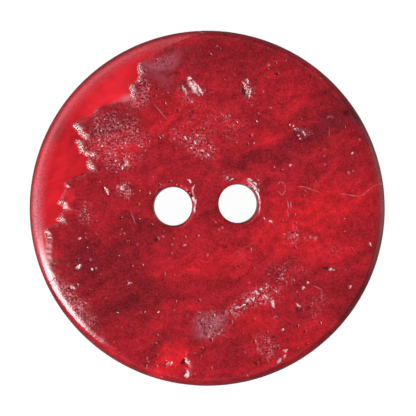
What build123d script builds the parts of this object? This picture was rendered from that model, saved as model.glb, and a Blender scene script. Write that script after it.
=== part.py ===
from build123d import *
import os
from math import asin, atan2, cos, degrees, hypot, radians, sin, sqrt

# A round two-hole sew-through button, turned from one slice of shell. Sizes are in millimetres.
# It lies on its back on the XY plane. Z is the button's axis, and X runs along the two sewing holes.
# One solid: smooth nacre that still carries the shell's thin outer crust on most of its face.
# Grinding took the crust off along one side, so it ends there in a step with a jagged, flaky edge.

# The turned blank
diameter = 23.0  # 36 ligne
thickness = 2.2  # at the middle, crust included
crust_thickness = 0.12
flat_radius = 5.0  # the flat middle of the face, which holds both sewing holes
face_fall = 0.15  # how far the shoulder outside it has dropped by the rim
face_edge_radius = 0.9
back_edge_radius = 0.5
least_edge_wall = 0.1  # straight wall kept between the two rounded edges

# The sewing holes
hole_diameter = 2.5
hole_spacing = 4.2
hole_pair_x = -0.11  # the pair was drilled a little off the button's centre
hole_pair_y = 0.22
face_hole_break = 0.22  # 45 degree edge break where the drill went in
back_hole_break = 0.12

# Places on the face are shares of the button's radius, so that the marks follow the diameter.
radius = diameter / 2
share_outside = 1.5  # well clear of the rim

# The crust's broken edge, from the rim at the top, down the left side, to the rim again
crust_edge = [
    (-0.01, 0.97),
    (-0.12, 0.93),
    (-0.21, 0.90),
    (-0.30, 0.85),
    (-0.36, 0.80),
    (-0.34, 0.75),
    (-0.41, 0.70),
    (-0.39, 0.65),
    (-0.41, 0.61),
    (-0.57, 0.59),
    (-0.61, 0.55),
    (-0.68, 0.52),
    (-0.73, 0.49),
    (-0.66, 0.41),
    (-0.71, 0.41),
    (-0.69, 0.34),
    (-0.63, 0.31),
    (-0.66, 0.28),
    (-0.64, 0.24),
    (-0.68, 0.21),
    (-0.79, 0.18),
    (-0.78, 0.13),
    (-0.83, 0.07),
    (-0.78, 0.03),
    (-0.84, -0.02),
    (-0.82, -0.05),
    (-0.91, -0.08),
    (-0.89, -0.17),
    (-0.90, -0.29),
    (-0.87, -0.35),
    (-0.88, -0.44),
]
outside_bearings = (206, 178, 150, 122, 90)  # degrees, round the ground side and past the rim

# A flake lost from the crust at the bottom of the rim
lost_flake = [
    (-0.33, -0.96),
    (-0.30, -0.88),
    (-0.22, -0.80),
    (-0.16, -0.73),
    (-0.12, -0.77),
    (-0.09, -0.85),
    (-0.11, -1.01),
]

# Scoops and pits in the face: place, length, width, depth, and the bearing of the length in degrees
scoops = [
    ((-0.07, 0.67), 1.60, 1.00, 0.16, -35),
    ((0.23, 0.64), 1.50, 0.55, 0.12, 106),
    ((0.52, 0.39), 1.60, 0.65, 0.10, -29),
    ((-0.44, 0.26), 0.90, 0.55, 0.08, -60),
    ((-0.56, 0.12), 0.50, 0.32, 0.08, -45),
    ((-0.73, -0.30), 0.45, 0.35, 0.07, 30),
    ((-0.77, -0.41), 0.45, 0.30, 0.07, -50),
    ((-0.45, -0.40), 0.32, 0.30, 0.07, 0),
    ((-0.29, -0.16), 0.60, 0.22, 0.06, -55),
    ((-0.14, -0.20), 0.40, 0.32, 0.07, 10),
    ((0.21, -0.42), 0.35, 0.28, 0.06, 40),
    ((0.33, -0.53), 0.80, 0.30, 0.07, -60),
    ((0.67, -0.36), 1.10, 0.45, 0.09, -5),
    ((0.48, -0.57), 0.50, 0.40, 0.08, 20),
    ((0.90, -0.23), 0.35, 0.25, 0.06, -65),
    ((0.38, -0.84), 0.75, 0.40, 0.10, 50),
    ((-0.27, -0.86), 0.60, 0.40, 0.08, 35),
    ((-0.17, -0.82), 0.70, 0.50, 0.20, -50),
    ((-0.17, -0.91), 0.75, 0.45, 0.19, 80),
]


def arc_radius(chord, rise):
    return (chord**2 / 4 + rise**2) / (2 * rise)


shoulder_radius = arc_radius(diameter - 2 * flat_radius, face_fall)


def fall_at(distance):
    """How far the face has dropped at this distance from the axis."""
    across_shoulder = max(distance - flat_radius, 0)
    return shoulder_radius - sqrt(shoulder_radius**2 - across_shoulder**2)


# The face edge is rounded less where the wall is too low for it.
rim_height = thickness - crust_thickness - face_fall
face_round = min(face_edge_radius, rim_height - back_edge_radius - least_edge_wall)


def turned(top, outer_radius, bottom):
    """Half the section of a disc with a shouldered face and a rounded face edge."""
    edge_height = top - fall_at(outer_radius)
    outline = Polyline(
        (flat_radius, top),
        (0, top),
        (0, bottom),
        (outer_radius, bottom),
        (outer_radius, edge_height),
    )
    shoulder = RadiusArc((outer_radius, edge_height), (flat_radius, top), -shoulder_radius)
    section = make_face([*outline.edges(), shoulder])
    corner = section.vertices().sort_by_distance((outer_radius, edge_height))[0]
    return Plane.YZ * fillet(corner, face_round)


def nacre():
    top = thickness - crust_thickness
    section = turned(top, radius, 0)
    foot = section.vertices().sort_by_distance((0, radius, 0))[0]
    return revolve(fillet(foot, back_edge_radius), Axis.Z)


def on_face(place):
    x, y = place
    return (x * radius, y * radius)


def prism(places):
    """What stands over this outline on the face."""
    return extrude(make_face(Polyline(*map(on_face, places), close=True)), 2 * thickness)


def crust():
    """The crust layer, which runs out into the nacre halfway round the face edge."""
    section = turned(thickness, radius - crust_thickness, back_edge_radius)
    ground_side = crust_edge + [
        (share_outside * cos(radians(b)), share_outside * sin(radians(b))) for b in outside_bearings
    ]
    return revolve(section, Axis.Z) - prism(ground_side) - prism(lost_flake)


def face_plane(place, top, outer_radius):
    """A plane that touches the face at this place, with its X axis pointing outwards."""
    x, y = on_face(place)
    distance = hypot(x, y)
    height = top - fall_at(distance)
    tilt = degrees(asin(max(distance - flat_radius, 0) / shoulder_radius))
    into_edge = distance - (outer_radius - face_round)
    if into_edge > 0:
        edge_top = top - fall_at(outer_radius - face_round)
        height = edge_top - face_round + sqrt(face_round**2 - into_edge**2)
        tilt = degrees(atan2(into_edge, sqrt(face_round**2 - into_edge**2)))
    bearing = degrees(atan2(y, x))
    return Plane(Location((x, y, height), (0, 0, bearing))) * Rotation(0, tilt, 0), bearing


def scoop_tool(length, width, depth):
    """A barrel that dips this deep below the XY plane and cuts a scoop of this length along X."""
    across = arc_radius(width, depth)
    along = max(arc_radius(length, depth), across)
    below_axle = Pos(0, -along) * Rectangle(2 * across, 2 * along)
    section = Pos(0, across - along) * Circle(across) & below_axle
    barrel = revolve(Plane.YZ * section, Axis.Y)
    return Pos(0, 0, along - depth) * barrel


def scoop(place, length, width, depth, direction):
    seat, bearing = face_plane(place, thickness, radius - crust_thickness)
    return seat * Rotation(0, 0, direction - bearing) * scoop_tool(length, width, depth)


def drilled(body, x):
    """The body with one more sewing hole, the edges of both its mouths broken."""
    wall = hole_diameter / 2
    drill = Cylinder(wall, 3 * thickness)
    back_break = Cone(wall + 2 * back_hole_break, wall, 2 * back_hole_break)
    bored = body - Pos(x, hole_pair_y) * (drill + back_break)
    face_mouth = (bored.edges() - body.edges()).sort_by(Axis.Z)[-1]
    return chamfer(face_mouth, face_hole_break)


def button():
    body = nacre() + crust()
    for side in (-1, 1):
        body = drilled(body, hole_pair_x + side * hole_spacing / 2)
    for mark in scoops:
        body -= scoop(*mark)
    return body


def main():
    os.makedirs("parts", exist_ok=True)
    export_step(button(), "parts/button.step")


main()
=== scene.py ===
import math
import bmesh
import bpy
import numpy as np
from mathutils import Matrix, Vector, noise


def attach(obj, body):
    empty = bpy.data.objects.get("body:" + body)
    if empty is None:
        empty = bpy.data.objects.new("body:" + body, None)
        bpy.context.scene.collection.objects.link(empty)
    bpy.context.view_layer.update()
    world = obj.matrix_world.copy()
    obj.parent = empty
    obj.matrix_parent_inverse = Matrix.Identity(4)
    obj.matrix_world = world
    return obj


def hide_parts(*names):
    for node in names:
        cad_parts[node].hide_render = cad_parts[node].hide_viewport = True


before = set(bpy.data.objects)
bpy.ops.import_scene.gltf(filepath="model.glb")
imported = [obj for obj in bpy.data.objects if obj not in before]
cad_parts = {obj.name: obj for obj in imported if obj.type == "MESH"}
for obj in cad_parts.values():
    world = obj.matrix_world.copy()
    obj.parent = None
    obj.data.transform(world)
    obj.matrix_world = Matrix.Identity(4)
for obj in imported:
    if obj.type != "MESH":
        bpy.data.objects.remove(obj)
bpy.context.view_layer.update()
mm = 0.001

# the blank: one slice of shell, turned, drilled and polished. Millimetres, on its back, axis on Z
blank = {
    "radius": 11.5,
    "height": 2.08,          # bare shell at the middle; the crust stands on this
    "flatRadius": 5.0,
    "shoulderRadius": 140.9,
    "edgeRound": 0.9,
    "wornFrom": 9.0,         # the shoulder is worn down a little more from here out
    "wornBy": 0.14,          # by this much at the rim
    "backRound": 0.5,
    "backSteps": 5,          # facets round the back edge
    "backInset": 0.3,        # a flat ring inside that edge
    "cells": 284,            # cells across the face
    "holeRadius": 1.25,
    "holes": [(-2.21, 0.22), (1.99, 0.22)],
    "mouthBreak": 0.2,
    # the broken mouth of a hole, ring by ring: share of the break left, drop
    "mouthRings": [(0.82, 0.02), (0.5, 0.05), (0.2, 0.07), (0.05, 0.07)],
    "mouthFoot": 0.1,        # drop from the last of them to the bore
    "boreRing": 1.3,         # height of a ring halfway down the bore
    "backMouthBreak": 0.12,
    "backRing": 0.32,        # a flat ring round the back mouth reaches this far out from the bore
}

# what is left of the shell's outer skin
crust = {
    "thickness": 0.12,
    "wall": 0.14,            # run of its broken edge
    "edgeBlur": 0.12,
    "flatBreak": 215,        # bearing on which that edge breaks flatter
    "lookAhead": 0.3,
    "curl": 0.05,            # how much higher it stands there
    "curlRun": 0.4,
    "thinsFrom": 0.3,        # down the left it thins out from this height on the face
    "thinsOver": 4.2,
    "thinsInwards": 3.5,
    "rags": [(0.10, 0.45, 3.0), (0.06, 0.2, 9.0)],       # how its outline wanders: amount, size, seed
    "waves": [(0.03, 3.2, 21.0), (0.014, 1.1, 5.0)],     # slow swells of the face
    "edgeGrain": (0.03, 0.04, 0.22),  # grain of the broken edge: height, more on the flat break, size
    "skinGrain": (0.003, 0.016, 0.26),  # grain of the skin: height, more in the rough fields, size
    "dishRun": 1.3,          # how gently the place of the lost flake dips
    "edge": [
        (-0.10, 11.18), (-1.37, 10.74), (-2.38, 10.36), (-3.40, 9.74), (-3.99, 9.43), (-4.13, 9.14),
        (-3.94, 8.68), (-4.34, 8.20), (-4.67, 8.01), (-4.53, 7.46), (-4.67, 7.01), (-5.34, 6.98),
        (-6.55, 6.81), (-7.03, 6.28), (-7.87, 6.02), (-8.38, 5.67), (-8.02, 5.28), (-7.63, 4.73),
        (-8.22, 4.71), (-8.03, 4.20), (-7.92, 3.87), (-7.27, 3.59), (-7.57, 3.27), (-7.34, 2.72),
        (-7.77, 2.45), (-9.03, 2.04), (-9.01, 1.50), (-9.50, 0.77), (-9.02, 0.30), (-9.63, -0.26),
        (-9.38, -0.53), (-9.80, -0.63), (-10.44, -0.90), (-10.35, -1.44), (-10.28, -1.94),
        (-10.34, -2.60), (-10.23, -2.90), (-10.33, -3.35), (-9.95, -4.03),
    ],
    "groundSide": [(-13.5, -6.2), (-15.0, 0.0), (-12.0, 9.0), (-6.0, 14.0), (0.0, 15.0)],
    "lostFlake": [
        (-3.80, -11.04), (-3.45, -10.12), (-2.53, -9.20), (-1.84, -8.40), (-1.38, -8.86), (-1.04, -9.78),
        (-1.27, -11.62),
    ],
    # soft fields: place, length, width, bearing, strength. Where the edge is smooth again, and the rough skin
    "healed": [(-9.0, 1.5, 2.2, 1.4, 60, 1.0)],
    "rough": [
        (-6.0, 4.6, 7.0, 5.6, -5, 0.85), (-4.6, 7.1, 1.4, 2.2, -10, 0.7), (-2.6, 9.4, 3.6, 1.6, 15, 0.4),
        (-0.4, 4.0, 3.8, 2.2, -35, 1.0), (-5.2, 3.1, 1.6, 1.8, 0, 1.0),
        (-5.2, 1.4, 1.6, 2.0, 0, 0.9), (3.2, -5.7, 4.6, 2.0, 18, 1.0), (1.6, -6.6, 2.8, 1.3, 30, 1.0),
        (0.0, -7.4, 3.4, 3.0, 0, 0.75), (5.5, -2.1, 2.8, 1.3, 0, 0.7), (1.5, 2.0, 1.6, 1.2, 0, 0.5),
        (2.9, 1.3, 1.6, 2.0, -40, 0.8), (3.4, -8.9, 2.6, 2.0, -60, 0.8), (-0.7, 7.4, 2.8, 2.2, 0, 0.6),
        (2.9, 7.4, 1.6, 2.4, 0, 0.5), (-3.9, 7.6, 2.2, 3.2, 0, 0.9), (6.2, 4.6, 2.2, 1.0, -20, 0.7),
        (1.2, 5.6, 1.8, 1.4, 0, 0.7), (-7.8, 0.0, 1.6, 2.4, 0, 0.6), (-8.8, -5.6, 7.0, 2.2, 127, 0.6),
        (-1.4, 4.8, 3.0, 2.0, 20, 0.4), (7.6, -3.0, 2.4, 1.2, 0, 0.35), (2.4, -3.0, 2.4, 1.6, 10, 0.35),
        (4.8, -4.3, 5.0, 2.4, 10, 0.40), (0.6, 5.4, 7.0, 3.4, -20, 0.35), (6.8, -6.6, 3.0, 3.0, 0, 0.30),
    ],
    "pits": 90,
    "pitSeed": 4,
    "pitReach": 10.6,
    "pitSizes": (0.14, 0.34),
    "pitDepths": (0.02, 0.05),
}

# scoops and pits: place, length, width, depth, bearing of the length in degrees
marks = [
    (-0.80, 7.73, 1.60, 1.00, 0.16, -35),
    (2.64, 7.39, 1.50, 0.55, 0.12, 106),
    (5.97, 4.59, 1.60, 0.65, 0.10, -29),
    (-5.10, 3.03, 0.90, 0.55, 0.08, -60),
    (-6.47, 1.33, 0.50, 0.32, 0.08, -45),
    (-8.42, -3.41, 0.45, 0.35, 0.07, 30),
    (-8.87, -4.76, 0.45, 0.30, 0.07, -50),
    (-5.15, -4.59, 0.32, 0.30, 0.07, 0),
    (-3.28, -1.80, 0.60, 0.22, 0.06, -55),
    (-1.61, -2.33, 0.40, 0.32, 0.07, 10),
    (2.39, -4.90, 0.35, 0.28, 0.06, 40),
    (3.83, -6.13, 0.80, 0.30, 0.07, -60),
    (7.69, -4.14, 1.10, 0.45, 0.09, -5),
    (5.51, -6.53, 0.50, 0.40, 0.08, 20),
    (10.36, -2.69, 0.35, 0.25, 0.06, -65),
    (4.37, -9.70, 0.75, 0.40, 0.10, 50),
    (-3.16, -9.88, 0.60, 0.40, 0.08, 35),
    (-1.79, -9.81, 0.60, 0.40, 0.07, -50),
    (-1.82, -10.52, 0.60, 0.36, 0.07, 80),
]


def sectionAt(run):
    # radius, height and lean of the bare face at this run out along it from the axis
    b = blank
    top = b["height"] - b["shoulderRadius"]
    centreRadius = b["radius"] - b["edgeRound"]
    reach = b["shoulderRadius"] - b["edgeRound"]
    centreHeight = top + math.sqrt(reach**2 - (centreRadius - b["flatRadius"]) ** 2)
    leanStart = math.asin((centreRadius - b["flatRadius"]) / reach)
    shoulderRun = b["shoulderRadius"] * leanStart
    lean = np.clip((run - b["flatRadius"]) / b["shoulderRadius"], 0, leanStart)
    radius = np.minimum(run, b["flatRadius"]) + b["shoulderRadius"] * np.sin(lean)
    height = top + b["shoulderRadius"] * np.cos(lean)
    past = np.maximum(run - b["flatRadius"] - shoulderRun, 0) / b["edgeRound"]
    onRound = past > 0
    turn = leanStart + past
    radius = np.where(onRound, centreRadius + b["edgeRound"] * np.sin(turn), radius)
    height = np.where(onRound, centreHeight + b["edgeRound"] * np.cos(turn), height)
    lean = np.where(onRound, turn, lean)
    return radius, height, lean


def wholeRun():
    b = blank
    reach = b["shoulderRadius"] - b["edgeRound"]
    leanStart = math.asin((b["radius"] - b["edgeRound"] - b["flatRadius"]) / reach)
    return b["flatRadius"] + b["shoulderRadius"] * leanStart + b["edgeRound"] * (math.pi / 2 - leanStart)


def points(piece):
    co = np.empty(len(piece.data.vertices) * 3)
    piece.data.vertices.foreach_get("co", co)
    return co.reshape(-1, 3)


def setPoints(piece, co):
    piece.data.vertices.foreach_set("co", co.astype(np.float32).ravel())
    piece.data.update()


def grain(x, y, size, octaves=1, seed=0.0):
    # smooth noise, about -1 to 1, with features of this size in millimetres
    k = 1.0 / size
    if octaves == 1:
        return np.array([noise.noise(Vector((a * k, b * k, seed))) for a, b in zip(x, y)])
    return np.array([noise.fractal(Vector((a * k, b * k, seed)), 1.0, 2.0, octaves) for a, b in zip(x, y)])


def smooth(t):
    t = np.clip(t, 0, 1)
    return t * t * (3 - 2 * t)


def signedDistance(x, y, corners):
    # distance to this outline, positive inside it
    best = np.full(len(x), 1e9)
    inside = np.zeros(len(x), bool)
    for (x1, y1), (x2, y2) in zip(corners, corners[1:] + corners[:1]):
        dx, dy = x2 - x1, y2 - y1
        t = np.clip(((x - x1) * dx + (y - y1) * dy) / (dx * dx + dy * dy), 0, 1)
        best = np.minimum(best, np.hypot(x - x1 - t * dx, y - y1 - t * dy))
        crosses = (y1 > y) != (y2 > y)
        inside ^= crosses & (x < x1 + (y - y1) * dx / (dy if dy else 1e-9))
    return np.where(inside, best, -best)


def turnFace():
    b = blank
    bpy.ops.object.select_all(action="DESELECT")
    bpy.ops.mesh.primitive_grid_add(x_subdivisions=b["cells"], y_subdivisions=b["cells"], size=2.0)
    button = bpy.context.object
    button.name = "dyed_shell_button"
    co = points(button)
    u, v = co[:, 0], co[:, 1]
    # the square of cells is drawn out to a round, cell sizes kept even
    run = np.maximum(abs(u), abs(v))
    wide = abs(u) >= abs(v)
    acrossBearing = np.pi / 4 * v / np.where(u == 0, 1, u)
    upBearing = np.pi / 2 - np.pi / 4 * u / np.where(v == 0, 1, v)
    bearing = np.where(wide, acrossBearing, upBearing)
    sign = np.where(wide, np.where(u < 0, -1, 1), np.where(v < 0, -1, 1))
    radius, height, _ = sectionAt(run * wholeRun())
    x, y = radius * np.cos(bearing) * sign, radius * np.sin(bearing) * sign
    setPoints(button, np.column_stack((x, y, height)))
    return button


def drillFace(button):
    b = blank
    mouth = b["holeRadius"] + b["mouthBreak"]
    mesh = bmesh.new()
    mesh.from_mesh(button.data)
    for hx, hy in b["holes"]:
        gone = [v for v in mesh.verts if math.hypot(v.co.x - hx, v.co.y - hy) < mouth]
        bmesh.ops.delete(mesh, geom=gone, context="VERTS")
        rim = [v for v in mesh.verts if v.is_boundary and math.hypot(v.co.x - hx, v.co.y - hy) < mouth + 0.6]
        for v in rim:
            k = mouth / math.hypot(v.co.x - hx, v.co.y - hy)
            v.co.x, v.co.y = hx + (v.co.x - hx) * k, hy + (v.co.y - hy) * k
        inner = [v for v in mesh.verts if not v.is_boundary]
        near = [v for v in inner if math.hypot(v.co.x - hx, v.co.y - hy) < mouth + 0.25]
        for _ in range(4):
            bmesh.ops.smooth_vert(mesh, verts=near, factor=0.5, use_axis_x=True, use_axis_y=True)
    mesh.to_mesh(button.data)
    mesh.free()


def bowls(x, y, rows, wobble):
    # how deep these oval scoops go at each point
    dip = np.zeros(len(x))
    for mx, my, length, width, depth, bearing in rows:
        near = np.hypot(x - mx, y - my) < length
        c, s = math.cos(math.radians(bearing)), math.sin(math.radians(bearing))
        along, across = (x[near] - mx) * c + (y[near] - my) * s, -(x[near] - mx) * s + (y[near] - my) * c
        reach = np.hypot(2 * along / length, 2 * across / width) * wobble[near]
        dip[near] = np.maximum(dip[near], depth * smooth(1.15 - reach))
    return dip


def fields(x, y, rows):
    # how much each point lies in these soft oval fields
    share = np.zeros(len(x))
    for mx, my, length, width, bearing, amount in rows:
        c, s = math.cos(math.radians(bearing)), math.sin(math.radians(bearing))
        along, across = (x - mx) * c + (y - my) * s, -(x - mx) * s + (y - my) * c
        share = np.maximum(share, amount * smooth(1.3 * (1 - np.hypot(2 * along / length, 2 * across / width))))
    return share


def scatteredPits():
    random = np.random.RandomState(crust["pitSeed"])
    rows = []
    while len(rows) < crust["pits"]:
        x, y = random.uniform(-11, 11, 2)
        if math.hypot(x, y) > crust["pitReach"]:
            continue
        size = random.uniform(*crust["pitSizes"])
        length = size * random.uniform(1, 1.8)
        depth = random.uniform(*crust["pitDepths"])
        rows.append((x, y, length, size, depth, random.uniform(0, 180)))
    return rows


def sculptFace(button):
    # the crust, its broken edge, the waves of the shell and every pit, worked into the face along its normal
    co = points(button)
    x, y = co[:, 0], co[:, 1]
    radius = np.hypot(x, y)
    b, c = blank, crust
    onEdge = np.clip((radius - (b["radius"] - b["edgeRound"])) / b["edgeRound"], 0, 1)
    shoulderLean = np.clip((radius - b["flatRadius"]) / b["shoulderRadius"], 0, 1)
    lean = np.where(onEdge > 0, np.arcsin(onEdge), shoulderLean)
    ragged = sum(amount * grain(x, y, size, seed=seed) for amount, size, seed in c["rags"])
    outline = c["edge"] + c["groundSide"]
    into = -signedDistance(x, y, outline) + ragged
    # the break runs out flatter and in ledges where it faces down the growth of the shell
    down = math.radians(c["flatBreak"])
    fx, fy = x + c["lookAhead"] * math.cos(down), y + c["lookAhead"] * math.sin(down)
    facing = smooth((into - ragged + signedDistance(fx, fy, outline)) / c["lookAhead"])
    wall = c["wall"] * (1 + 0.8 * facing) * (1 + 0.6 * grain(x, y, 0.6, seed=31.0))
    mask = smooth(into / c["edgeBlur"] + 0.5)
    ledge = 0.5 + 0.3 * grain(x, y, 0.5, seed=51.0)
    step = ledge * mask + (1 - ledge) * smooth((into - 0.35 * wall) / (0.65 * wall))
    broken = smooth(into / 0.1 + 0.5) * smooth(1.6 - into / wall)
    # all of it dies away round the edge of the blank, and thins out down the left
    fade = smooth(1.35 - onEdge * 1.6)
    calm = 1 - 0.8 * onEdge
    downLeft = smooth((c["thinsFrom"] - y) / c["thinsOver"]) * smooth(-x / 4)
    thin = 1 - downLeft * smooth(1.1 - into / c["thinsInwards"])
    rise = (c["thickness"] + c["curl"] * facing * smooth(2 - into / c["curlRun"])) * step * fade * thin
    rise -= c["thickness"] * smooth((signedDistance(x, y, c["lostFlake"]) + ragged) / c["dishRun"])
    least, more, size = c["edgeGrain"]
    rise += (least + more * facing) * broken * fade * thin * grain(x, y, size, seed=41.0)
    waves = sum(amount * grain(x, y, size, seed=seed) for amount, size, seed in c["waves"])
    rise += waves * (0.25 + 0.75 * mask) * calm
    rough = fields(x, y, c["rough"])
    least, more, size = c["skinGrain"]
    rise += (least + more * rough) * grain(x, y, size, 2, seed=8.0) * mask * calm
    wobble = 1 + 0.35 * grain(x, y, 0.4, seed=13.0)
    rise -= bowls(x, y, marks, wobble)
    rise -= bowls(x, y, scatteredPits(), wobble) * mask
    away = np.where(radius > 0, radius, 1)
    worn = np.clip((radius - b["wornFrom"]) / (b["radius"] - b["wornFrom"]), 0, 1)
    co[:, 0] += rise * np.sin(lean) * x / away
    co[:, 1] += rise * np.sin(lean) * y / away
    co[:, 2] += rise * np.cos(lean) - b["wornBy"] * worn**2
    setPoints(button, co)
    # what the material needs to know
    # flaked marks the broken edge, most where it faces down and to the left toward the light; the material
    # paints highlights there
    flakedAndGlinting = broken * (0.25 + 0.75 * facing) * thin**2 * (1 - fields(x, y, c["healed"]))
    for name, value in (("crust", mask), ("rough", rough * mask), ("flakedAndGlinting", flakedAndGlinting)):
        layer = button.data.attributes.new(name, "FLOAT", "POINT")
        layer.data.foreach_set("value", value.astype(np.float32))


def selectLoop(button, test):
    # edit mode, open edges whose ends pass the test
    bpy.ops.object.mode_set(mode="OBJECT")
    mesh = bmesh.new()
    mesh.from_mesh(button.data)
    for v in mesh.verts:
        v.select_set(False)
    for e in mesh.edges:
        e.select_set(False)
    for e in mesh.edges:
        if e.is_boundary and all(test(v.co) for v in e.verts):
            e.select_set(True)
    mesh.to_mesh(button.data)
    mesh.free()
    bpy.ops.object.mode_set(mode="EDIT")
    bpy.ops.mesh.select_mode(type="EDGE")


def drawDown(scale, drop, centre):
    bpy.ops.mesh.extrude_edges_move()
    bpy.ops.transform.resize(value=(scale, scale, 1), center_override=centre)
    bpy.ops.transform.translate(value=(0, 0, -drop))


def level(height):
    # press the selected ring flat at this height
    bpy.ops.transform.resize(value=(1, 1, 0), center_override=(0, 0, height))


def closeBody(button):
    b = blank
    bpy.ops.object.mode_set(mode="EDIT")
    bpy.ops.mesh.select_all(action="DESELECT")
    # the side and the rounded back edge
    selectLoop(button, lambda p: math.hypot(p.x, p.y) > b["radius"] - 0.3)
    bpy.ops.mesh.extrude_edges_move()
    level(b["backRound"])
    size = b["radius"]
    height = b["backRound"]
    for step in range(1, b["backSteps"] + 1):
        turn = math.pi / 2 * step / b["backSteps"]
        nextSize = b["radius"] - b["backRound"] * (1 - math.cos(turn))
        nextHeight = b["backRound"] * (1 - math.sin(turn))
        drawDown(nextSize / size, height - nextHeight, (0, 0, 0))
        size, height = nextSize, nextHeight
    level(0)
    drawDown((size - b["backInset"]) / size, 0, (0, 0, 0))
    # the holes: the broken mouth, the wall, and the small break at the back
    for hx, hy in b["holes"]:
        selectLoop(button, lambda p: math.hypot(p.x - hx, p.y - hy) < b["holeRadius"] + b["mouthBreak"] + 0.1)
        size = b["holeRadius"] + b["mouthBreak"]
        for share, drop in b["mouthRings"]:
            nextSize = b["holeRadius"] + b["mouthBreak"] * share
            drawDown(nextSize / size, drop, (hx, hy, 0))
            size = nextSize
        drawDown(b["holeRadius"] / size, b["mouthFoot"], (hx, hy, 0))
        bpy.ops.mesh.extrude_edges_move()
        level(b["boreRing"])
        bpy.ops.mesh.extrude_edges_move()
        level(b["backMouthBreak"])
        backMouth = b["holeRadius"] + b["backMouthBreak"]
        drawDown(backMouth / b["holeRadius"], b["backMouthBreak"], (hx, hy, 0))
        level(0)
        drawDown((b["holeRadius"] + b["backRing"]) / backMouth, 0, (hx, hy, 0))
    # the back
    selectLoop(button, lambda p: p.z < 0.01)
    bpy.ops.mesh.fill(use_beauty=True)
    bpy.ops.mesh.select_all(action="SELECT")
    bpy.ops.mesh.normals_make_consistent(inside=False)
    bpy.ops.object.mode_set(mode="OBJECT")


def makeButton():
    button = turnFace()
    drillFace(button)
    sculptFace(button)
    closeBody(button)
    setPoints(button, points(button) * mm)
    bpy.ops.object.select_all(action="DESELECT")
    button.select_set(True)
    bpy.context.view_layer.objects.active = button
    bpy.ops.object.shade_smooth()
    return button
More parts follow.
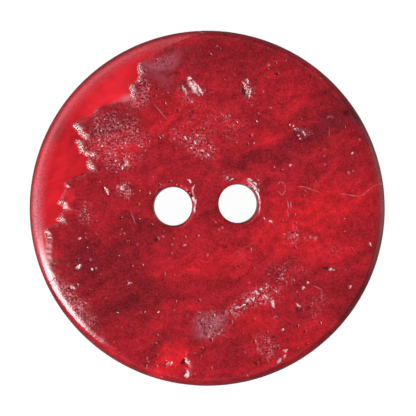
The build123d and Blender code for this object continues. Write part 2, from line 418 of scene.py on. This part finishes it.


# the dye and the lacquer, and colours for painted shade, painted sheen and painted glints. Dabs: dye, place,
# length, width, bearing, strength
finishAndPaintedLight = {
    "mid": (0.38, 0.008, 0.016),
    "colours": {
        "bright": (0.60, 0.009, 0.017),
        "deep": (0.20, 0.005, 0.011),
        "plum": (0.12, 0.011, 0.022),
        "flame": (0.85, 0.014, 0.022),
        "milky": (0.40, 0.10, 0.13),
        "bare": (0.62, 0.011, 0.020),
        "glow": (0.86, 0.020, 0.035),
        "pale": (0.72, 0.22, 0.27),
        "chipAndGlint": (0.88, 0.70, 0.71),
        "rimSheen": (0.58, 0.20, 0.25),
        "shadedPore": (0.05, 0.002, 0.005),
    },
    "dabs": [
        ("bright", 7.3, -0.1, 9.8, 4.9, 3, 0.90),
        ("bright", 6.0, -2.2, 9.8, 3.3, -6, 0.70),
        ("bright", 0.4, -3.5, 7.2, 3.6, 8, 0.55),
        ("bright", -1.0, 5.7, 7.2, 3.9, -2, 0.45),
        ("bright", -4.0, 4.0, 1.6, 1.2, -2, 0.60),
        ("bright", 3.5, 4.3, 3.9, 2.0, 13, 0.50),
        ("bright", 2.5, -7.5, 4.6, 2.2, 18, 0.70),
        ("bright", -2.4, -3.8, 5.2, 3.3, 18, 0.40),
        ("bright", -2.7, -5.9, 5.2, 2.3, 10, 0.45),
        ("bright", 5.7, -8.8, 7.2, 3.3, 28, 0.40),
        ("bright", 5.3, 6.8, 4.6, 2.9, -2, 0.30),
        ("bright", -5.0, 3.3, 2.6, 1.7, -2, 0.35),
        ("deep", 1.5, 9.3, 6.5, 3.3, -14, 0.60),
        ("deep", 4.2, 10.0, 5.9, 2.2, -16, 0.55),
        ("deep", 9.2, 6.1, 8.5, 4.6, -52, 0.70),
        ("deep", 6.6, 4.2, 11.1, 2.2, 23, 0.90),
        ("deep", 2.6, 2.8, 3.9, 1.7, 8, 0.80),
        ("deep", -6.8, -3.2, 7.8, 5.2, 18, 0.90),
        ("deep", -4.9, -5.8, 9.8, 4.2, 13, 0.80),
        ("deep", -3.8, -1.3, 5.2, 2.3, -2, 0.70),
        ("deep", 0.0, -0.4, 1.7, 2.6, -2, 0.50),
        ("deep", 9.1, -5.7, 5.9, 8.5, 58, 0.25),
        ("deep", -3.4, -8.8, 5.9, 1.8, 23, 0.50),
        ("deep", 3.5, -10.9, 3.9, 1.4, 13, 0.60),
        ("deep", -8.2, -2.1, 3.3, 5.2, -2, 0.70),
        ("deep", -1.4, -5.6, 4.6, 1.6, -2, 0.35),
        ("deep", 0.8, -4.8, 3.3, 1.3, -2, 0.30),
        ("deep", -7.3, -7.3, 4.6, 2.0, -47, 0.30),
        ("deep", 1.2, -9.3, 2.9, 1.8, 28, 0.35),
        ("plum", 10.2, 5.5, 2.2, 1.6, -52, 1.00),
        ("plum", 8.2, 4.8, 3.3, 1.4, 18, 0.35),
        ("plum", -2.7, 8.5, 4.6, 2.3, -22, 0.35),
        ("plum", -6.0, 5.9, 4.6, 2.2, 3, 0.40),
        ("plum", -0.7, 9.6, 2.6, 2.0, -2, 0.35),
        ("flame", -2.7, -9.5, 4.3, 2.6, 43, 0.60),
        ("flame", -3.6, -10.5, 2.6, 1.0, 18, 0.60),
        ("milky", -0.3, -7.3, 3.0, 2.4, 20, 0.52),
        ("milky", 0.1, -7.4, 1.7, 2.6, -22, 0.30),
        ("milky", -3.2, 9.0, 3.3, 1.7, -32, 0.30),
        ("flame", 6.9, 9.0, 1.4, 0.5, -40, 0.80),
        ("milky", -4.3, 7.3, 3.0, 1.0, 60, 0.30),
        ("milky", -2.3, 9.6, 3.6, 1.4, 15, 0.50),
        ("bright", -5.4, 3.9, 4.2, 2.4, 20, 0.50),
        ("bright", -0.2, 4.2, 3.2, 2.4, -30, 0.40),
        ("bright", 3.4, -5.6, 4.0, 2.2, 18, 0.50),
        ("bright", -1.3, 7.6, 1.1, 1.2, 0, 0.80),
        ("glow", -8.8, 1.0, 2.0, 1.0, 60, 0.50),
        ("deep", 1.1, -9.0, 2.4, 1.6, 25, 0.45),
    ],
    "hairlines": [
        ("pale", 0.11, 0.5, [(5.87, 1.15), (6.33, 1.09), (6.73, 0.9), (7.18, 0.73)]),
        ("pale", 0.11, 0.5, [
            (8.47, 0.6), (8.99, 0.49), (9.61, 0.37), (9.9, 0.39), (10.15, 0.58), (10.57, 0.91), (11.03, 1.1),
            (11.36, 1.08),
        ]),
        ("pale", 0.12, 0.4, [
            (4.53, 1.33), (4.74, 1.51), (4.99, 1.37), (5.04, 0.98), (4.83, 0.6), (4.58, 0.87),
        ]),
        ("pale", 0.12, 0.6, [(5.14, 0.26), (5.19, -0.2)]),
        ("pale", 0.12, 0.6, [(5.33, 0.19), (5.35, -0.21)]),
        ("pale", 0.12, 0.6, [(5.08, -0.32), (5.16, -0.72)]),
        ("pale", 0.12, 0.5, [(5.59, -1.39), (5.71, -1.65)]),
        ("pale", 0.12, 0.5, [(5.4, -1.25), (5.45, -1.58)]),
        ("pale", 0.1, 0.45, [(-3.08, 6.74), (-2.33, 5.78)]),
        ("pale", 0.1, 0.45, [(-4.89, 0.09), (-4.6, -0.83)]),
        ("pale", 0.13, 0.35, [(8, 4.89), (7.97, 4.24)]),
        ("pale", 0.16, 0.45, [(7.89, 5.45), (8.09, 5.57), (8.28, 5.43)]),
        ("pale", 0.12, 0.4, [(6.54, -5.2), (7.08, -5.48), (7.06, -6.22)]),
        ("pale", 0.12, 0.5, [(2.73, -8.49), (2.87, -8.89), (2.83, -9.28)]),
        ("pale", 0.12, 0.45, [(2.93, -9.02), (3.18, -9.42)]),
        ("pale", 0.12, 0.4, [(3.37, -9.56), (3.54, -10.02)]),
        ("pale", 0.12, 0.45, [(3.92, -7.24), (4.06, -7.02), (4.18, -7.12)]),
        ("pale", 0.1, 0.35, [(-3.36, 0.94), (-3.08, 1.38), (-2.61, 1.62)]),
        # painted highlights with white chips, along the right-hand mouths of the two holes where the break
        # faces the light
        ("chipAndGlint", 0.14, 0.8, [(-0.93, 1.29), (-0.82, 0.83), (-0.75, 0.18), (-0.87, -0.14)]),
        ("chipAndGlint", 0.17, 0.85, [(2.59, 1.67), (2.97, 1.39), (3.22, 1.05)]),
        ("chipAndGlint", 0.11, 0.7, [(3.3, 0.73), (3.37, 0.07), (3.28, -0.58)]),
        ("shadedPore", 0.16, 0.6, [(4.55, 6.4), (4.81, 6.49), (5.13, 6.41)]),
        ("shadedPore", 0.33, 0.6, [(-0.63, -7.12), (-0.52, -7.64), (-0.41, -8.1)]),
        ("shadedPore", 0.16, 0.7, [(-7.59, 2.61), (-8.05, 2.43), (-8.58, 2.26)]),
    ],
    # white chips of undyed shell that also serve as painted highlights, the glints in small scoops and breaks:
    # place, length, width, bearing
    "chipsAndGlints": [
        (-8.4, -3.4, 0.58, 0.29, 40), (-7.5, -3.6, 0.21, 0.21, 0), (-8.9, -4.7, 0.29, 0.2, -60),
        (-5.2, -4.6, 0.23, 0.23, 0), (-8.2, -1.6, 0.24, 0.2, 0), (-3.4, -6.5, 0.14, 0.14, 0),
        (-6, -6.4, 0.13, 0.13, 0), (7.7, -4.2, 0.34, 0.24, 30), (7.9, -4.3, 0.21, 0.2, 0),
        (8.9, -5.4, 0.21, 0.2, 0), (6.2, -5, 0.21, 0.2, 0), (5.9, -5.3, 0.23, 0.21, 0),
        (5.5, -6.4, 0.29, 0.2, -50), (3.5, -5.8, 0.49, 0.2, -60), (3.9, -6.3, 0.68, 0.23, -70),
        (4.6, -9.3, 0.39, 0.29, -30), (4.2, -9.9, 0.49, 0.24, 60), (4.5, -7.9, 0.21, 0.2, 0),
        (9.4, 3.1, 0.2, 0.2, 0), (5.4, 2.5, 0.18, 0.16, 0), (3.6, -0.8, 0.29, 0.2, -60),
        (4, -1, 0.25, 0.2, -50), (10.3, -2.7, 0.39, 0.21, -60), (6, 4.4, 0.23, 0.21, 0),
        (5.5, 5.1, 0.15, 0.15, 0), (5.7, 5, 0.16, 0.16, 0), (6.3, 4.6, 0.24, 0.14, -70),
        (6.4, 4.4, 0.2, 0.14, -60), (6.1, 4.2, 0.18, 0.16, 0), (5.8, 4.8, 0.16, 0.14, 0),
        (1.4, 1.9, 0.2, 0.2, 0), (2.3, -6, 0.39, 0.2, 60), (-6.3, 1.3, 0.49, 0.16, -70),
        (-2.7, -9.8, 0.29, 0.2, 60), (-1.6, -9.8, 0.30, 0.16, 60), (-1.8, -10.6, 0.40, 0.24, 60),
        (-0.8, 8.3, 0.33, 0.24, 20), (-1.15, 7.6, 0.95, 0.20, -62), (-0.6, 7.74, 1.35, 0.30, -55),
        (-0.15, 7.54, 0.80, 0.20, -60),
        (2.9, -5.5, 0.50, 0.20, -50), (2.6, -5.9, 0.40, 0.15, -40), (3.2, -5.3, 0.30, 0.15, -60),
        (1.7, -6.4, 0.50, 0.20, 20), (2.0, -6.3, 0.40, 0.15, 30), (-5.1, 3.0, 0.40, 0.20, 60),
        (-5.3, 2.8, 0.30, 0.15, 100), (-5.4, 1.5, 0.40, 0.20, 80), (-5.2, 1.7, 0.25, 0.15, 30),
        (-1.2, 4.5, 0.35, 0.16, -40), (-0.6, 4.2, 0.35, 0.16, -60), (-0.2, 3.7, 0.35, 0.16, -30),
        (0.2, 3.4, 0.30, 0.15, -50), (-1.05, 1.75, 0.45, 0.20, -60), (-0.85, 1.35, 0.50, 0.20, 70),
        (-0.74, 0.40, 0.50, 0.15, 80),
        (-0.82, -0.10, 0.35, 0.15, 100), (2.75, 1.72, 0.50, 0.20, -20), (3.10, 1.45, 0.40, 0.18, -45),
        (3.30, 1.00, 0.35, 0.15, -70), (1.60, 1.78, 0.50, 0.12, 20), (2.9, 8, 0.39, 0.22, -60),
        (3, 7.2, 0.88, 0.20, 80),
    ],
    "films": [
        (7.6, 2.5, 0.23, 0.23, 0, 0.5), (9.1, 1.9, 0.25, 0.25, 0, 0.5), (9.4, 2, 0.2, 0.2, 0, 0.5),
        (4.3, 9, 0.29, 0.29, 0, 0.5), (3.9, 7.3, 0.21, 0.21, 0, 0.5), (9.9, 4, 0.23, 0.23, 0, 0.5),
        (0.5, -0.9, 0.21, 0.21, 0, 0.5), (0.9, -1.3, 0.2, 0.2, 0, 0.5), (0.7, -1.4, 0.2, 0.2, 0, 0.5),
        (-1.6, -2.3, 0.2, 0.2, 0, 0.5), (-2.9, -1.7, 0.2, 0.2, 0, 0.5), (-2.3, -2.2, 0.2, 0.2, 0, 0.5),
        (-0.1, -3, 0.2, 0.2, 0, 0.5), (-5.3, 1.5, 0.39, 0.39, 0, 0.5), (-5.1, 3, 0.39, 0.39, 0, 0.5),
        (6.8, -2.2, 0.39, 0.39, 0, 0.5), (6.5, -2.1, 0.29, 0.29, 0, 0.5),
    ],
    # dark pits whose dark is partly painted shade: place, length, width, bearing, strength
    "shadedPores": [
        (-2.3, 1.8, 0.29, 0.29, 0, 0.8), (-3.3, -1.9, 0.49, 0.21, 30, 0.7), (1.1, -2.5, 0.58, 0.24, 10, 0.7),
        (-5.5, -0.4, 0.29, 0.29, 0, 0.8), (4.8, 8.4, 0.33, 0.29, 0, 0.8), (-3, 7.3, 0.23, 0.23, 0, 0.6),
        (-2.4, 6.8, 0.23, 0.23, 0, 0.6), (-1.6, 6.3, 0.23, 0.23, 0, 0.6), (0.4, 7.4, 0.23, 0.23, 0, 0.6),
        (-2.7, 4.7, 0.23, 0.23, 0, 0.6), (3, 4.5, 0.23, 0.23, 0, 0.6), (-6.5, 1.5, 0.49, 0.29, -60, 0.7),
        (-3, -9.8, 0.58, 0.39, 50, 0.85), (-1.9, -9.7, 0.68, 0.39, 60, 0.85), (7.4, -4.1, 0.58, 0.29, -10, 0.7),
        (5.7, -6.7, 0.49, 0.34, 0, 0.6), (6.2, -6.6, 0.58, 0.39, 20, 0.5), (3.9, -8.3, 0.49, 0.29, 10, 0.5),
        (5.9, -8.1, 0.29, 0.29, 0, 0.6), (6, -8.9, 0.29, 0.29, 0, 0.5), (2.7, -10, 0.49, 0.39, 0, 0.6),
        (0.8, -6.7, 0.39, 0.29, 0, 0.6), (1.2, -6.6, 0.29, 0.23, 0, 0.5), (9.1, 5.7, 0.78, 0.49, 30, 0.5),
        (2.7, 7.4, 1.10, 0.34, 100, 0.8), (3, -9.8, 0.88, 0.39, 70, 0.4), (-8.5, -3.3, 0.29, 0.23, 0, 0.7),
        (-9, -4.7, 0.29, 0.23, 0, 0.7), (-5.3, -4.5, 0.2, 0.2, 0, 0.6), (-5.5, -5.7, 1.17, 0.58, 20, 0.25),
        (-4.9, -5.4, 1.36, 0.78, 10, 0.3),
    ],
    "bareDabs": [
        ("glow", -6.0, 7.6, 6.2, 2.6, 42, 1.0),
        ("glow", -9.0, 3.4, 3.6, 1.6, 70, 0.4),
        ("glow", -9.6, 1.0, 2.6, 1.2, 70, 0.2),
        ("deep", -8.2, 5.0, 2.2, 0.8, 45, 0.35),
        ("deep", -9.3, 5.6, 3.0, 1.0, 55, 0.30),
        ("pale", -4.9, 7.3, 2.8, 1.2, 8, 0.50),
    ],
    "growthBearing": 20,
    "streakStrength": 0.26,
    "mottleStrength": 0.20,
    # grains in the rough fields, among them dark pores partly painted shade and white chips partly painted
    # glints: spacing, size, share of places taken, colour
    "scurfGrains": [(0.16, 0.14, 0.35, "shadedPore"), (0.13, 0.115, 0.45, "pale"), (0.21, 0.13, 0.10, "chipAndGlint")],
    # loose specks all over the crust: the same, and how strong
    "looseSpecks": [(0.7, 0.22, 0.30, "shadedPore", 0.60), (1.1, 0.15, 0.20, "pale", 0.40)],
    "chipAndGlintStrength": 0.95,
    # a painted sheen, grainy and milky, on the worn rim of the bare side: radii it comes and goes over, amount,
    # more on the left
    "rimSheen": ((10.2, 11.0), (11.42, 11.2), 0.22, (-11.2, -0.4, 9.0, 5.0, 90, 0.28)),
    # painted shade on the cut side: radii it comes over, and the colour's share at each
    "paintedSideShade": (11.05, 11.40, 1.0, 0.50),
    "coatRoughness": 0.09,
    "coatIor": 1.7,
    "grainHeight": (0.006, 0.05),    # fine grain of the crust, in the calm and in the rough fields
    "dentDepth": 0.05,
}


def dyedShell():
    material = bpy.data.materials.new("dyed_shell")
    material.use_nodes = True
    nodes, links = material.node_tree.nodes, material.node_tree.links
    shader = nodes["Principled BSDF"]
    colours = finishAndPaintedLight["colours"]

    def add(kind, *sources, **settings):
        node = nodes.new("ShaderNode" + kind)
        for key, value in settings.items():
            setattr(node, key, value)
        for index, source in enumerate(sources):
            if isinstance(source, bpy.types.NodeSocket):
                links.new(source, node.inputs[index])
            elif source is not None:
                node.inputs[index].default_value = source
        return node

    def calc(operation, *sources):
        return add("Math", *sources, operation=operation).outputs[0]

    def turned(source, place=(0, 0, 0), bearing=0.0, size=(1, 1, 1)):
        turn = (0, 0, math.radians(bearing))
        return add("Mapping", source, place, turn, size, vector_type="TEXTURE").outputs[0]

    def clouds(source, size, detail=2.0):
        node = add("TexNoise", source)
        node.inputs["Scale"].default_value = 1 / size
        node.inputs["Detail"].default_value = detail
        return node.outputs[0]

    def ramp(value, low, high, bottom=0.0, top=1.0):
        # unclamped: a smooth step keeps within its ends, and Cycles has no room for this many clamps
        node = add("MapRange", value, low, high, bottom, top, interpolation_type="SMOOTHSTEP", clamp=False)
        return node.outputs[0]

    def blend(amount, under, over, kind="MIX"):
        node = add("Mix", data_type="RGBA", blend_type=kind)
        for socket, value in ((0, amount), (6, under), (7, over)):
            if isinstance(value, bpy.types.NodeSocket):
                links.new(value, node.inputs[socket])
            else:
                node.inputs[socket].default_value = value if socket == 0 else (*value, 1)
        return node.outputs[2]

    def oval(source, x, y, length, width, bearing, amount):
        inside = turned(source, (x, y, 0), bearing, (length / 2, width / 2, 1))
        middle = add("TexGradient", inside, gradient_type="SPHERICAL").outputs["Fac"]
        return ramp(middle, 0.0, 0.75, 0.0, amount)

    def specks(source, spacing, size, share):
        # round specks of this size in millimetres, in this share of the cells
        node = add("TexVoronoi", source, voronoi_dimensions="2D")
        node.inputs["Scale"].default_value = 1 / spacing
        chosen = calc("GREATER_THAN", add("SeparateColor", node.outputs["Color"]).outputs[0], 1 - share)
        return calc("MULTIPLY", chosen, ramp(node.outputs["Distance"], size / spacing / 2, size / spacing / 5))

    # places in millimetres, the same all the way through the slice, and the same places pushed about
    metres = add("TexCoord").outputs["Object"]
    place = add("VectorMath", metres, (1000, 1000, 1000), operation="MULTIPLY").outputs[0]
    flat = add("VectorMath", place, (1, 1, 0), operation="MULTIPLY").outputs[0]
    drift = flat
    for size, amount in ((2.6, 2.2), (0.8, 0.9)):
        noiseNode = add("TexNoise", flat)
        noiseNode.inputs["Scale"].default_value = 1 / size
        noiseNode.inputs["Detail"].default_value = 1.0
        offset = add("VectorMath", noiseNode.outputs["Color"], (0.5, 0.5, 0.5), operation="SUBTRACT").outputs[0]
        offset = add("VectorMath", offset, (amount, amount, 0), operation="MULTIPLY").outputs[0]
        drift = add("VectorMath", drift, offset, operation="ADD").outputs[0]
    # the dye's own pattern also changes with depth below the face
    sunk = add("VectorMath", place, (0, 0, 1), (0, 0, -2.1), operation="MULTIPLY_ADD").outputs[0]
    through = add("VectorMath", flat, sunk, operation="ADD").outputs[0]
    driftThrough = add("VectorMath", drift, sunk, operation="ADD").outputs[0]
    onFace = ramp(add("SeparateXYZ", place).outputs["Z"], 1.1, 1.5)
    wander = add("TexNoise", flat)
    wander.inputs["Scale"].default_value = 5.0
    push, middle = (0.28, 0.28, 0), (-0.14, -0.14, 0)
    ragged = add("VectorMath", wander.outputs["Color"], push, middle, operation="MULTIPLY_ADD").outputs[0]
    ragged = add("VectorMath", ragged, flat, operation="ADD").outputs[0]
    crustMask = add("Attribute", attribute_name="crust").outputs["Fac"]
    roughMask = add("Attribute", attribute_name="rough").outputs["Fac"]
    flakedAndGlintingMask = add("Attribute", attribute_name="flakedAndGlinting").outputs["Fac"]

    # the dye has taken in clouds, in streaks along the growth of the shell and in a fine mottle
    colour = blend(0.0, finishAndPaintedLight["mid"], finishAndPaintedLight["mid"])
    for tint, *shape in finishAndPaintedLight["dabs"]:
        colour = blend(oval(drift, *shape), colour, colours[tint])
    streaks = clouds(turned(driftThrough, bearing=finishAndPaintedLight["growthBearing"], size=(2.6, 0.8, 1)), 0.9, 5.0)
    mottle = clouds(through, 0.45, 5.0)
    for pattern, strength in ((streaks, finishAndPaintedLight["streakStrength"]), (mottle, finishAndPaintedLight["mottleStrength"])):
        colour = blend(1.0, colour, ramp(pattern, 0.25, 0.75, 1 + strength, 1 - strength), "MULTIPLY")
    scurf = clouds(ragged, 0.12, 3.0)
    fine = clouds(flat, 0.07, 2.0)
    clumps = ramp(clouds(flat, 0.7, 3.0), 0.36, 0.60, 0.25, 1.0)
    scurfMask = calc("MULTIPLY", roughMask, clumps)
    # milky grains and dark pores in the rough fields; the dark of the pores is partly painted shade
    for tint, full, least, most in (("pale", 0.62, 0.05, 0.45), ("shadedPore", 0.34, 0.22, 0.70)):
        amount = calc("MULTIPLY", ramp(scurf, 0.46, full), ramp(scurfMask, 0.0, 1.0, least, most))
        colour = blend(amount, colour, colours[tint])
    for spacing, size, share, tint in finishAndPaintedLight["scurfGrains"]:
        spots = specks(turned(ragged, (spacing * 23, spacing * 41, 0)), spacing, size, share)
        colour = blend(calc("MULTIPLY", spots, ramp(scurfMask, 0.02, 0.70, 0.0, 0.70)), colour, colours[tint])

    # bare shell where the crust is ground away
    cloud = clouds(turned(flat, bearing=50, size=(1.8, 1, 1)), 1.6, 3.0)
    bare = blend(ramp(cloud, 0.42, 0.65, 0.0, 0.5), colours["bare"], finishAndPaintedLight["mid"])
    for tint, *shape in finishAndPaintedLight["bareDabs"]:
        bare = blend(oval(drift, *shape), bare, colours[tint])
    bare = blend(1.0, bare, ramp(streaks, 0.25, 0.75, 1.12, 0.86), "MULTIPLY")
    out = add("VectorMath", flat, operation="LENGTH").outputs["Value"]
    # painted sheen: a milky reflection laid into the colour round the rim
    comes, goes, least, more = finishAndPaintedLight["rimSheen"]
    rimSheen = calc("MULTIPLY", ramp(out, *comes), ramp(out, *goes))
    rimSheen = calc("MULTIPLY", rimSheen, calc("ADD", oval(flat, *more), least))
    rimSheen = calc("MULTIPLY", rimSheen, ramp(scurf, 0.35, 0.62, 0.45, 1.35))
    bare = blend(rimSheen, bare, colours["rimSheen"])
    colour = blend(crustMask, bare, colour)
    # painted shade: the colour is darkened on the cut side, all round the rim
    colour = blend(1.0, colour, ramp(out, *finishAndPaintedLight["paintedSideShade"]), "MULTIPLY")

    # painted highlights on the broken edge, most where it faces the light, mixed with white splinters
    splintersAndGlints = calc("MULTIPLY", flakedAndGlintingMask, ramp(fine, 0.48, 0.58))
    colour = blend(ramp(splintersAndGlints, 0.25, 0.6, 0.0, 0.9), colour, colours["chipAndGlint"])

    # what is too small for the mesh: hairlines, films, pores whose dark is partly painted shade, and chips that
    # are partly painted glints
    dent = calc("MULTIPLY", flakedAndGlintingMask, ramp(fine, 0.55, 0.42))
    masks = dict.fromkeys(("pale", "chipAndGlint", "shadedPore"), 0.0)
    for tint, width, amount, way in finishAndPaintedLight["hairlines"]:
        for (x1, y1), (x2, y2) in zip(way, way[1:]):
            run = math.hypot(x2 - x1, y2 - y1)
            bearing = math.degrees(math.atan2(y2 - y1, x2 - x1))
            mask = oval(flat, (x1 + x2) / 2, (y1 + y2) / 2, 1.35 * run + 0.06, width, bearing, amount)
            masks[tint] = calc("MAXIMUM", masks[tint], mask)
    for tint, mask in masks.items():
        mask = calc("MULTIPLY", calc("MULTIPLY", mask, onFace), ramp(mottle, 0.35, 0.55, 0.3, 1.0))
        colour = blend(mask, colour, colours[tint])
    films = shadedPores = chipsAndGlints = 0.0
    for shape in finishAndPaintedLight["films"]:
        films = calc("MAXIMUM", films, oval(ragged, *shape))
    for shape in finishAndPaintedLight["shadedPores"]:
        shadedPores = calc("MAXIMUM", shadedPores, oval(ragged, *shape))
    for shape in finishAndPaintedLight["chipsAndGlints"]:
        chipsAndGlints = calc("MAXIMUM", chipsAndGlints, oval(ragged, *shape, finishAndPaintedLight["chipAndGlintStrength"]))
    films, shadedPores, chipsAndGlints = (calc("MULTIPLY", each, onFace) for each in (films, shadedPores, chipsAndGlints))
    colour = blend(films, colour, colours["pale"])
    colour = blend(shadedPores, colour, colours["shadedPore"])
    chipsAndGlints = calc("MULTIPLY", chipsAndGlints, ramp(fine, 0.36, 0.5, 0.45, 1.0))
    dent = calc("MAXIMUM", dent, shadedPores)
    for spacing, size, share, tint, amount in finishAndPaintedLight["looseSpecks"]:
        spread = turned(ragged, (spacing * 31, spacing * 17, 0))
        spots = specks(spread, spacing, size, share)
        mask = calc("MULTIPLY", spots, ramp(clouds(spread, 3.0), 0.42, 0.60, 0.1, amount))
        mask = calc("MULTIPLY", calc("MULTIPLY", mask, onFace), crustMask)
        dent = calc("MAXIMUM", dent, mask)
        colour = blend(mask, colour, colours[tint])
    dent = calc("MAXIMUM", dent, chipsAndGlints)
    colour = blend(chipsAndGlints, colour, colours["chipAndGlint"])
    links.new(colour, shader.inputs["Base Color"])
    shader.inputs["Roughness"].default_value = 0.6
    shader.inputs["Specular IOR Level"].default_value = 0.0
    shader.inputs["Coat Weight"].default_value = 1.0
    shader.inputs["Coat Roughness"].default_value = finishAndPaintedLight["coatRoughness"]
    shader.inputs["Coat IOR"].default_value = finishAndPaintedLight["coatIor"]

    # heights in millimetres
    calm, rough = finishAndPaintedLight["grainHeight"]
    height = calc("MULTIPLY", clouds(flat, 0.15, 3.0), ramp(roughMask, 0.0, 1.0, calm, rough))
    height = calc("MULTIPLY", height, crustMask)
    height = calc("MULTIPLY_ADD", dent, -finishAndPaintedLight["dentDepth"], height)
    bump = add("Bump")
    bump.inputs["Strength"].default_value = 1.0
    bump.inputs["Distance"].default_value = mm
    links.new(height, bump.inputs["Height"])
    links.new(bump.outputs[0], shader.inputs["Normal"])
    links.new(bump.outputs[0], shader.inputs["Coat Normal"])
    return material


button = makeButton()
button.data.materials.clear()
button.data.materials.append(dyedShell())
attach(button, "root")
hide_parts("button")
print("button", len(button.data.vertices), "vertices", len(button.data.polygons), "faces")

# the table, the light and the camera
studio = {
    "floorWhite": 0.08,
    "floorGlow": 0.97,
    "backdrop": 0.93,
    # softboxes that only light: bearing and height in degrees, power in watts
    "fills": [(0, 90, 0.42), (20, 22, 0.8), (110, 22, 0.7), (290, 22, 0.7), (45, 3, 1.8)],
    "fillSize": 0.35,
    "fillDistance": 0.6,
    # sky seen in the lacquer, from straight below to straight above: height as a share, brightness
    "sky": [(0.15, 0.16), (0.36, 0.02), (0.46, 0.02), (0.5, 0.22), (0.65, 0.16), (0.95, 0.06)],
    # windows in it: bearing, height, half width and half height, brightness
    "windows": [
        (208, 18, 0.38, 0.50, 11.0),
        (208, 40, 0.34, 0.36, 5.0),
        (170, 14, 0.60, 0.46, 0.5),
        (135, 24, 0.60, 0.42, 0.35),
        (2, -24, 0.50, 0.40, 0.3),
    ],
    "windowLight": 0.55,
    "turn": 2.37,                    # the line of the holes climbs this much to the right
    "frameWidth": 27.06,             # millimetres seen across the face
    "lens": 100,
    "sensor": 36,
    "aim": (0.052, 0.016),
    "aimHeight": 0.65,
}


def towards(bearing, rise):
    b, r = math.radians(bearing), math.radians(rise)
    return Vector((math.cos(b) * math.cos(r), math.sin(b) * math.cos(r), math.sin(r)))


def makeFloor():
    bpy.ops.object.select_all(action="DESELECT")
    bpy.ops.mesh.primitive_plane_add(size=4.0, location=(0, 0, 0))
    floor = bpy.context.object
    floor.name = "table_top"
    paint = bpy.data.materials.new("white_table")
    paint.use_nodes = True
    shader = paint.node_tree.nodes["Principled BSDF"]
    white = studio["floorWhite"]
    shader.inputs["Base Color"].default_value = (white, white, white, 1)
    shader.inputs["Roughness"].default_value = 0.9
    shader.inputs["Specular IOR Level"].default_value = 0.0
    shader.inputs["Emission Color"].default_value = (1, 1, 1, 1)
    shader.inputs["Emission Strength"].default_value = studio["floorGlow"]
    floor.data.materials.append(paint)
    # the table's glare is kept out of the button's sides
    floor.visible_glossy = False
    floor.visible_diffuse = False
    floor.visible_shadow = False


def addFills():
    for number, (bearing, rise, power) in enumerate(studio["fills"]):
        data = bpy.data.lights.new("fill", "AREA")
        data.size = studio["fillSize"]
        data.energy = power
        lamp = bpy.data.objects.new(f"fill_{number}", data)
        lamp.location = towards(bearing, rise) * studio["fillDistance"]
        lamp.rotation_euler = (-lamp.location).to_track_quat("-Z", "Y").to_euler()
        lamp.visible_glossy = False
        lamp.visible_camera = False
        bpy.context.scene.collection.objects.link(lamp)


def makeSky():
    world = bpy.data.worlds.new("studio")
    world.use_nodes = True
    nodes, links = world.node_tree.nodes, world.node_tree.links

    def add(kind, *sources, **settings):
        node = nodes.new("ShaderNode" + kind)
        for key, value in settings.items():
            setattr(node, key, value)
        for index, source in enumerate(sources):
            if isinstance(source, bpy.types.NodeSocket):
                links.new(source, node.inputs[index])
            else:
                node.inputs[index].default_value = source
        return node

    way = add("TexCoord").outputs["Generated"]
    up = add("SeparateXYZ", way).outputs["Z"]
    share = add("Math", up, 0.5, 0.5, operation="MULTIPLY_ADD").outputs[0]
    ramp = add("ValToRGB", share)
    stops = ramp.color_ramp.elements
    for position, grey in studio["sky"]:
        stops.new(position).color = (grey, grey, grey, 1)
    stops.remove(stops[0])
    stops.remove(stops[-1])
    light = ramp.outputs[0]
    panes = 0.0
    for bearing, rise, halfWidth, halfHeight, brightness in studio["windows"]:
        turn = (0, 0, math.radians(bearing))
        size = (1, halfWidth, halfHeight)
        pane = add("Mapping", way, towards(bearing, rise), turn, size, vector_type="TEXTURE")
        near = add("TexGradient", pane.outputs[0], gradient_type="SPHERICAL").outputs["Fac"]
        glow = add("MapRange", near, 0.0, 0.6, 0.0, brightness, interpolation_type="SMOOTHSTEP").outputs[0]
        panes = add("Math", panes, glow, operation="ADD").outputs[0]
    # they show in the lacquer more than they light
    diffuse = add("LightPath").outputs["Is Diffuse Ray"]
    lit = add("MapRange", diffuse, 0.0, 1.0, 1.0, studio["windowLight"]).outputs[0]
    panes = add("Math", panes, lit, operation="MULTIPLY").outputs[0]
    light = add("Math", light, panes, operation="ADD").outputs[0]
    # straight behind the table the camera sees a plain pale backdrop
    seen = add("LightPath").outputs["Is Camera Ray"]
    light = add("MapRange", seen, 0.0, 1.0, light, studio["backdrop"])
    links.new(light.outputs[0], nodes["Background"].inputs[0])
    nodes["Background"].inputs[1].default_value = 1.0
    bpy.context.scene.world = world


def makeCamera():
    data = bpy.data.cameras.new("camera")
    data.lens = studio["lens"]
    data.sensor_width = studio["sensor"]
    camera = bpy.data.objects.new("camera", data)
    distance = studio["frameWidth"] * mm * studio["lens"] / studio["sensor"]
    aim = Vector((studio["aim"][0] * mm, studio["aim"][1] * mm, studio["aimHeight"] * mm + distance))
    turn = -math.radians(studio["turn"])
    camera.location = Matrix.Rotation(turn, 4, "Z") @ aim
    camera.rotation_euler = (0, 0, turn)
    data.clip_start, data.clip_end = 0.005, 20
    bpy.context.scene.collection.objects.link(camera)
    bpy.context.scene.camera = camera


makeFloor()
addFills()
makeSky()
makeCamera()
bpy.context.scene.view_settings.view_transform = "Standard"
print("studio ready")
